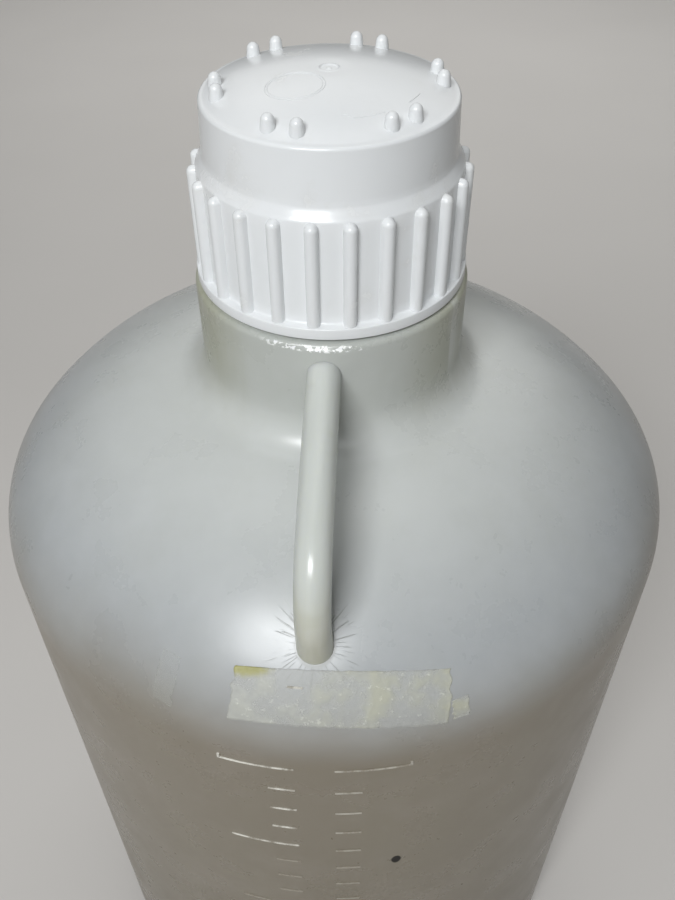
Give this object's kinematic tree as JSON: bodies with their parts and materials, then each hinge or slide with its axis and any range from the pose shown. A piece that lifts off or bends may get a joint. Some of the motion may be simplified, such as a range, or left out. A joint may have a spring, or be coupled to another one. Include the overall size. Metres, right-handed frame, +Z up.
{
  "type": "carboy bottle",
  "caption": "Large translucent plastic carboy with rounded shoulder, loop handles and a ribbed white screw closure; stores and pours liquids.",
  "frame": {"origin": "centre of the base, on the surface that the bottle stands on", "axes": "+Z up along the bottle's axis to the closure; the front handle and the graduations face -Y; +X to the right seen from the front"},
  "size_m": [0.2864, 0.2866, 0.5083],
  "materials": {
    "bottle_plastic": "translucent, milky, satin, slightly grey",
    "handle_plastic": "translucent, milky, satin",
    "closure_plastic": "opaque bright white, fine satin",
    "gasket_rubber": "soft, matt, pale",
    "label_tape": "aged, crinkled, yellowish film"
  },
  "bodies": {
    "bottle": {"bottle_body": "bottle_plastic", "handle_front": "handle_plastic", "handle_rear": "handle_plastic", "label_tape_main": "label_tape", "label_tape_left": "label_tape", "label_tape_right": "label_tape"},
    "sealing_ring": {"closure_gasket": "gasket_rubber"},
    "screw_closure": {"closure": "closure_plastic"}
  },
  "joints": [
    {"name": "closure_lift", "type": "slide", "parent": "bottle", "child": "sealing_ring", "axis": [0, 0, 1], "range_m": [0, 0.0631]},
    {"name": "closure_turn", "type": "hinge", "parent": "sealing_ring", "child": "screw_closure", "pos_m": [0, 0, 0.5], "axis": [0, 0, 1], "range_deg": [0, 3780]}
  ],
  "couplings": [
    {"joint": "closure_lift", "follows": "closure_turn", "m_per_rad": 0.00095493}
  ]
}
